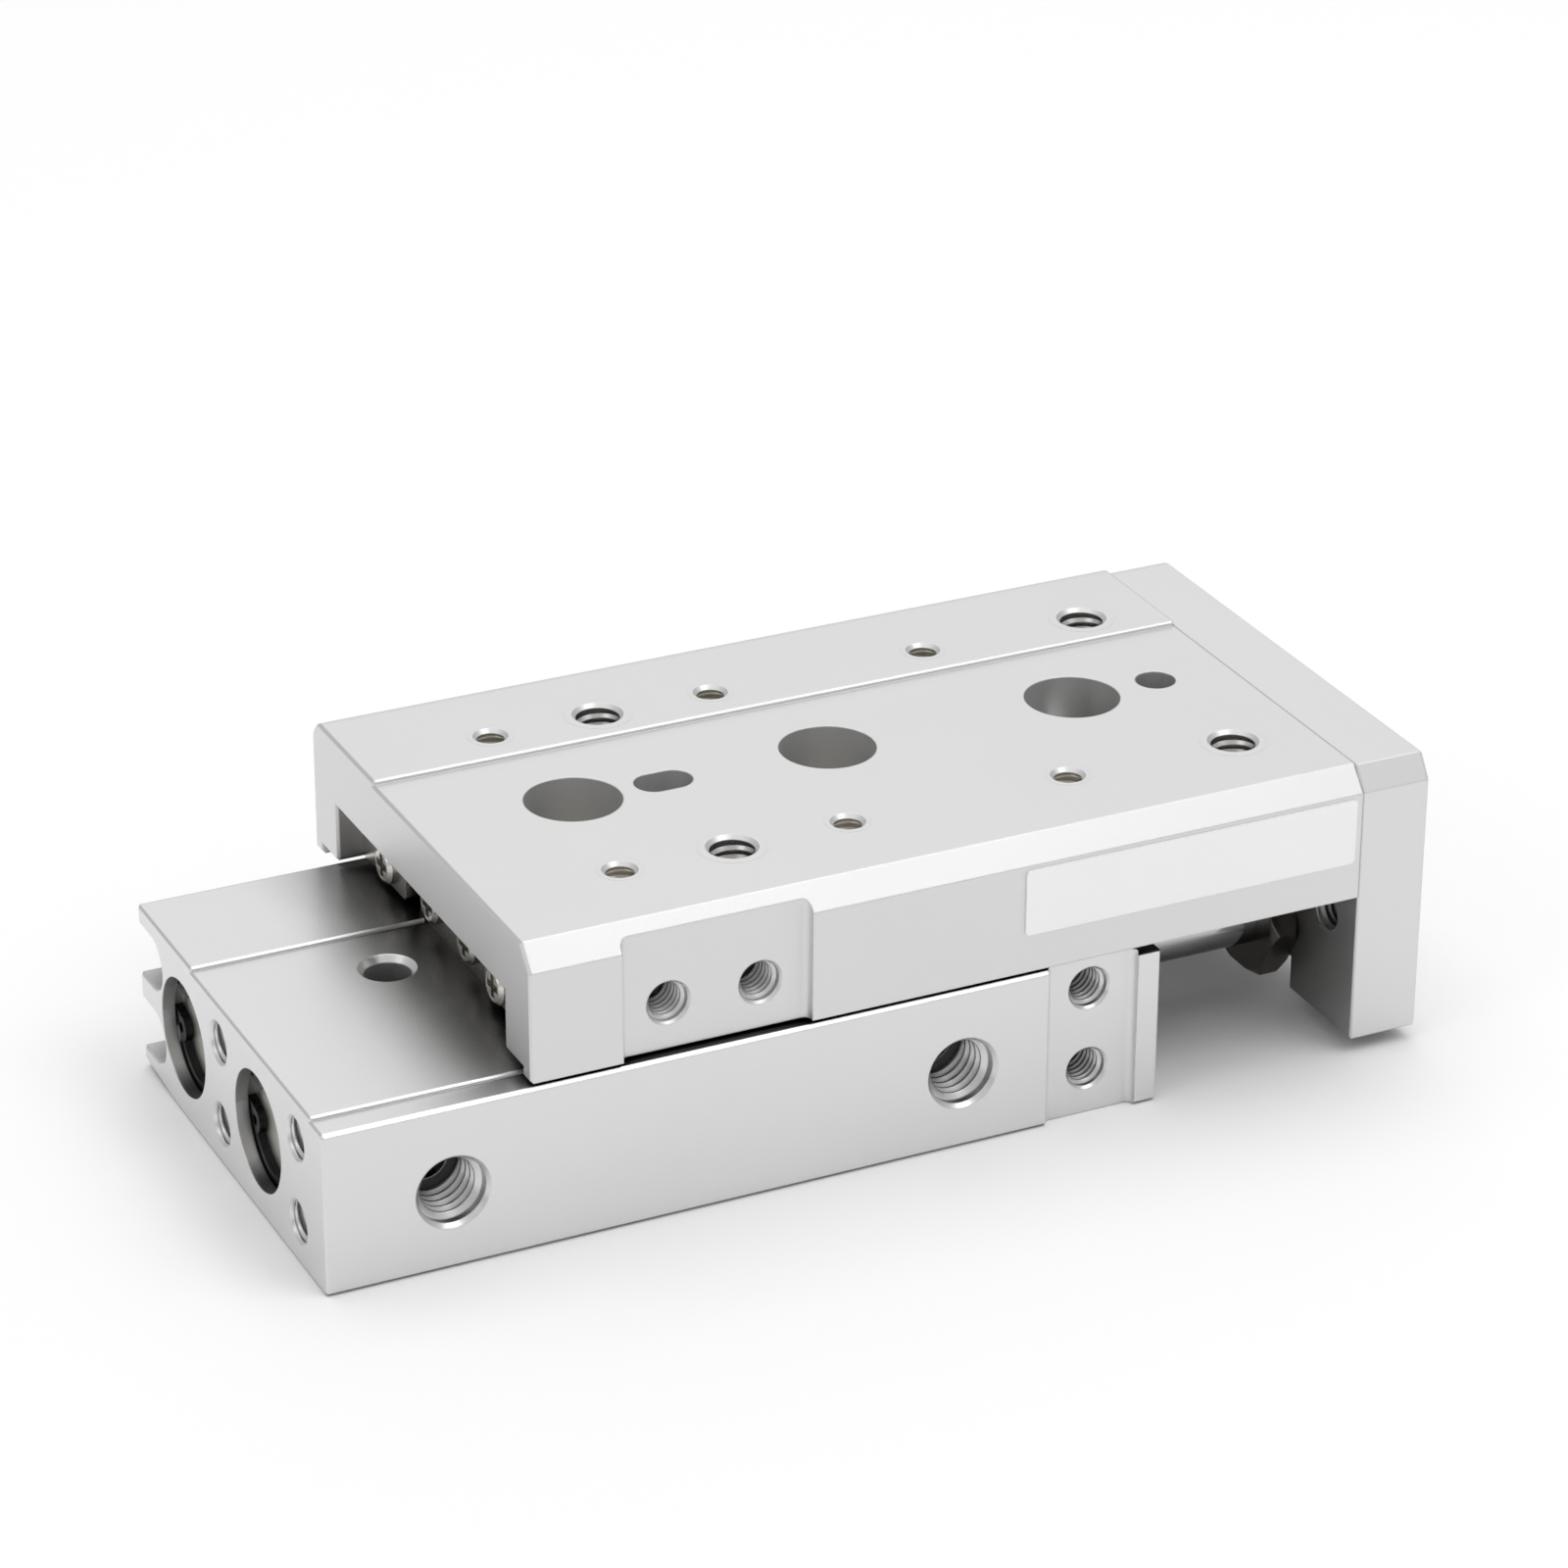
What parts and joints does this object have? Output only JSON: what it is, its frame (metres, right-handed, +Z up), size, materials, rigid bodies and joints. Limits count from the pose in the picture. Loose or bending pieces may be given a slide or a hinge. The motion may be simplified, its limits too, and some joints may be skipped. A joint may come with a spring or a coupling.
{
  "type": "pneumatic slide table",
  "caption": "Compact pneumatic slide table: a drilled table with an end plate runs on a cross-roller guide over a body that holds its cylinders.",
  "frame": {"origin": "on the base face, on the axis of the body's second mounting hole", "axes": "+X along the travel towards the end plate, +Y away from the air ports, +Z up out of the base"},
  "size_m": [0.0858, 0.04, 0.0234],
  "materials": {
    "anodised_aluminium": "matt clear anodised",
    "guide_steel": "ground and hardened",
    "screw_steel": "nickel plated",
    "rod_steel": "hard chrome, polished",
    "nut_steel": "dark nickel",
    "insert_steel": "bright stainless wire",
    "spring_steel": "black phosphated",
    "piston_aluminium": "turned",
    "cap_aluminium": "turned",
    "gland_brass": "turned",
    "seal_rubber": "black",
    "magnet": "dark",
    "label_film": "satin white"
  },
  "bodies": {
    "body": {"body_block": "anodised_aluminium", "guide_block": "guide_steel", "guide_block_screws": "screw_steel", "guide_block_end_screws": "screw_steel", "head_cap_near": "cap_aluminium", "head_cap_far": "cap_aluminium", "rod_gland_near": "gland_brass", "rod_gland_far": "gland_brass", "o_rings": "seal_rubber", "rod_seals": "seal_rubber", "retaining_rings": "spring_steel"},
    "table_unit": {"end_plate": "anodised_aluminium", "end_plate_screws": "screw_steel", "label_plate": "label_film", "piston_bumpers": "seal_rubber", "piston_far": "piston_aluminium", "piston_magnets": "magnet", "piston_near": "piston_aluminium", "piston_seals": "seal_rubber", "rail_end_screws": "screw_steel", "rail_far": "guide_steel", "rail_near": "guide_steel", "rail_screws": "screw_steel", "rod_far": "rod_steel", "rod_near": "rod_steel", "rod_nut_far": "nut_steel", "rod_nut_near": "nut_steel", "rod_screws": "screw_steel", "table": "anodised_aluminium", "thread_inserts": "insert_steel"},
    "near_cage": {"cage_near": "gland_brass", "rollers_near": "guide_steel"},
    "far_cage": {"cage_far": "gland_brass", "rollers_far": "guide_steel"}
  },
  "joints": [
    {"name": "table_slide", "type": "slide", "parent": "body", "child": "table_unit", "axis": [1, 0, 0], "range_m": [-0.0144, 0.0156]},
    {"name": "near_cage_slide", "type": "slide", "parent": "body", "child": "near_cage", "axis": [1, 0, 0], "range_m": [-0.0072, 0.0078]},
    {"name": "far_cage_slide", "type": "slide", "parent": "body", "child": "far_cage", "axis": [1, 0, 0], "range_m": [-0.0072, 0.0078]}
  ],
  "couplings": [
    {"joint": "near_cage_slide", "follows": "table_slide", "ratio": 0.5},
    {"joint": "far_cage_slide", "follows": "table_slide", "ratio": 0.5}
  ]
}
